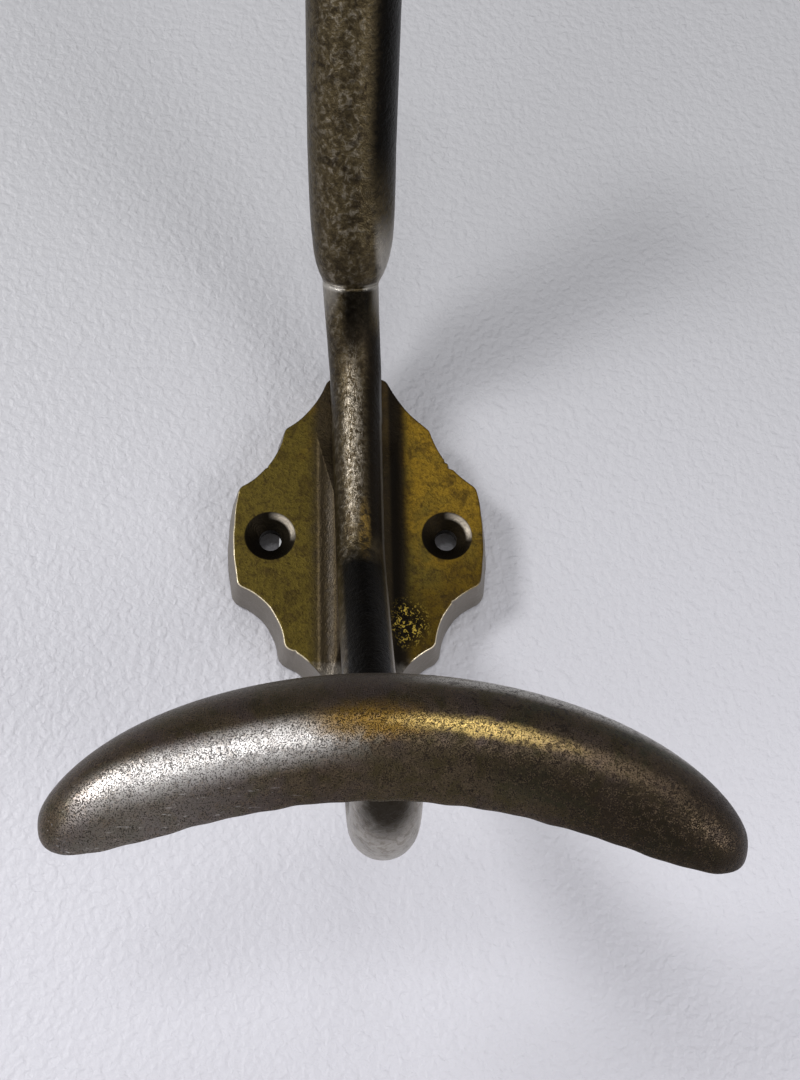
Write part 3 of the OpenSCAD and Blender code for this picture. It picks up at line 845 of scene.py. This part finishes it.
def restFinish():
    # a painted highlight as a silver streak on the left half, amber wear and a golden painted highlight over
    # the middle, brown and olive to the right
    t = restLook
    b = Bench(bpy.data.materials.new("restBrass"))
    place, x, y, z = b.places()
    names = ("cloud", "blotch", "mottle", "grain")
    cloud, blotch, mottle, grain = [b.noise(place, *t[name]) for name in names]
    scratch = b.noise(b.stretch(place, t["scratchTurn"], t["scratchScale"]), *t["scratches"])

    # how far up the rest's front a place is, along the arch
    fromMiddle = x - rest["shift"]
    archRadius = rest["archRadius"]
    arch = (archRadius ** 2 - fromMiddle ** 2) ** 0.5 - archRadius
    up = z - rest["height"] - arch + fromMiddle * math.tan(math.radians(rest["dip"]))

    tint = b.mix(b.rise(blotch, 0.36, 0.62), t["olive"], t["brown"])
    tint = b.mix(b.rise(cloud, 0.46, 0.6) * 0.6, tint, t["violet"])
    tint = b.mix(b.fall(cloud, 0.38, 0.48) * b.rise(x, *t["greenFrom"]) * 0.9, tint, t["green"])

    # a painted highlight as a silver streak on the left, with a faint painted sheen under it
    highlightStreak = b.fall(x + blotch * 10, *t["highlightEnds"]) * b.rise(x, *t["highlightFrom"])
    middle = up + 0.7 + blotch - b.fall(x, *t["highlightDips"]) * 1.5
    tint = b.mix(highlightStreak * b.fall(abs(middle), *t["highlightSides"]) * 0.95, tint, t["silver"])
    sheen = b.fall(x, *t["sheenEnds"]) * b.fall(up + blotch * 3, *t["sheenUnder"])
    tint = b.mix(sheen * 0.14, tint, t["silver"])

    # amber wear along the middle, then golden and tan painted highlights toward the right
    tint = b.mix(b.spot(x, up + blotch * 3, t["amberAt"], t["amberSize"], 0.5) * 0.9, tint, t["amber"])
    gold = b.spot(x + blotch * 6, up + blotch * 1.5, t["goldHighlightAt"], t["goldHighlightSize"], 0.7)
    tint = b.mix(gold * b.rise(mottle, 0.28, 0.5), tint, t["gold"])
    tan = b.spot(x + blotch * 6, up + blotch * 1.5, t["tanHighlightAt"], t["tanHighlightSize"], 0.6)
    tint = b.mix(tan * b.rise(mottle, 0.32, 0.6) * 0.55, tint, t["tan"])

    # dark under the streak and at the right end, and a painted reflection as a pale top edge
    tint = b.mix(b.spot(x, up + blotch * 2, t["stainAt"], t["stainSize"], 0.7) * 0.65, tint, t["dark"])
    darkEnd = b.rise(x + blotch * 12 - up * 1.6, *t["darkEndFrom"])
    tint = b.mix(darkEnd * 0.75, tint, t["dark"])
    tint = b.mix(b.rise(up, *t["topFrom"]) * 0.55, tint, t["olive"])
    tint = b.mix(b.rise(up + blotch, *t["reflectedEdgeFrom"]) * b.rise(x, *t["reflectedEdgeRight"]) * 0.85, tint, t["edge"])

    # fine dark pits all over, and a few drawn-out scratches
    pits = b.rise(grain, 0.5, 0.64)
    tint = b.mix(b.rise(mottle, 0.45, 0.62) * b.fall(grain, 0.35, 0.5) * 0.34, tint, t["tan"])
    tint = b.mix(pits * 0.8, tint, t["pit"])
    tint = b.mix(b.rise(mottle, 0.52, 0.64) * (0.3 + b.rise(x, *t["pitsRight"]) * 0.42), tint, t["pit"])
    lines = b.rise(scratch, 0.64, 0.7) * b.fall(up, *t["scratchesUnder"]) * b.fall(x, *t["scratchesEnd"])
    tint = b.mix(lines * 0.4, tint, t["silver"])

    rough = t["rough"] + (blotch - 0.5) * 0.16 + pits * 0.14 + darkEnd * 0.08
    return b.metalSkin(tint, rough, t["metal"], mottle * 0.5 - pits * 0.4, t["castDepth"])


backPlate.data.materials.clear()
backPlate.data.materials.append(plateFinish())
hookArms = sweepBar("hookArms", armPath(), arms["sides"], armFinish())
print("stem and arms", len(hookArms.data.polygons), "faces")
coatRest = makeRest()
coatRest.data.materials.append(restFinish())
print("coat rest", len(coatRest.data.polygons), "faces")

for piece in (backPlate, hookArms, coatRest):
    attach(piece, "root")
    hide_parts("hook")


wall = {
    "size": 1.6,  # metres
    "gap": 0.3, "openingInset": 9.2,  # the opening is this far inside the plate's outline
    "paintLow": colour(0.61, 0.603, 0.65), "paintShadedHigh": colour(0.43, 0.43, 0.448), "paintShadeTurns": (-95, 95),
    "rough": 0.5, "peel": (0.75, 2.0, 0.45, 0.3), "peelDepth": 0.42,
}


def makeWall(steps=180):
    # a painted wall, seen from its front only, and open behind the plate's hollow
    half = wall["size"] / 2 / mm
    angles = np.linspace(0, 2 * math.pi, steps, endpoint=False)
    inner = plateReach(angles, wall["openingInset"], 0.0)
    outer = half / np.maximum(abs(np.cos(angles)), abs(np.sin(angles)))
    verts = [np.array([r * math.cos(a), wall["gap"], r * math.sin(a)]) * mm
             for reach in (inner, outer) for a, r in zip(angles, reach)]
    faces = bridge([list(range(steps)), list(range(steps, 2 * steps))])
    mesh = bpy.data.meshes.new("wall")
    mesh.from_pydata([tuple(v) for v in verts], [], faces)
    if mesh.polygons[0].normal.y > 0:
        mesh.flip_normals()
    obj = bpy.data.objects.new("wall", mesh)
    scene.collection.objects.link(obj)
    b = Bench(bpy.data.materials.new("wallPaint"))
    place, x, y, z = b.places()
    peel = b.noise(place, *wall["peel"])
    # painted shade: the wall's paint turns darker toward the top
    tint = b.mix(b.rise(z, *wall["paintShadeTurns"]), wall["paintLow"], wall["paintShadedHigh"])
    paint = b.add("ShaderNodeBsdfPrincipled", None,
                  {"Base Color": tint, "Roughness": wall["rough"],
                   "Normal": b.bump(peel, wall["peelDepth"])})
    clear = b.add("ShaderNodeBsdfTransparent")
    fromBehind = b.add("ShaderNodeNewGeometry", out="Backfacing")
    seen = b.add("ShaderNodeMixShader", None, {0: fromBehind, 1: paint, 2: clear})
    b.add("ShaderNodeOutputMaterial", None, {"Surface": seen})
    mesh.materials.append(b.owner)
    return obj


makeWall()

studio = {
    "horizon": colour(0.45, 0.45, 0.462), "ceiling": colour(0.13, 0.13, 0.135), "ceilingTurns": (0.45, 0.85),
    "lamps": [
        # name, degrees left of straight out, degrees up, distance, width, height, watts
        ("window", 43, 15, 0.9, 0.20, 0.22, 4.2),
        ("side", 56, 4, 0.8, 0.80, 0.60, 0.3),
        ("lowLeft", 46, -20, 0.7, 0.30, 0.24, 0.5),
        ("lowRight", -46, -20, 0.7, 0.30, 0.24, 1.6),
        ("front", 6, 4, 0.9, 0.20, 0.10, 0.7),
        ("high", -4, 27, 0.9, 0.20, 0.10, 0.45),
    ],
}


def lightStudio():
    scene.world = bpy.data.worlds.new("room")
    b = Bench(scene.world)
    way = b.add("ShaderNodeTexCoord", out="Generated")
    up = b.add("ShaderNodeSeparateXYZ", None, {"Vector": way}, out="Z")
    air = b.mix(b.rise(up, *studio["ceilingTurns"]), studio["horizon"], studio["ceiling"])
    glow = b.add("ShaderNodeBackground", None, {"Color": air, "Strength": 1.0})
    b.add("ShaderNodeOutputWorld", None, {"Surface": glow})
    for name, left, rise, far, wide, tall, watts in studio["lamps"]:
        lamp = bpy.data.lights.new(name, "AREA")
        lamp.shape = "RECTANGLE"
        lamp.size = wide
        lamp.size_y = tall
        lamp.energy = watts
        obj = bpy.data.objects.new(name, lamp)
        a, e = math.radians(left), math.radians(rise)
        aim = Vector((-math.sin(a) * math.cos(e), -math.cos(a) * math.cos(e), math.sin(e)))
        obj.location = aim * far
        obj.rotation_euler = aim.to_track_quat("Z", "Y").to_euler()
        scene.collection.objects.link(obj)


lightStudio()
scene.view_settings.view_transform = "Standard"
print("wall and light set")
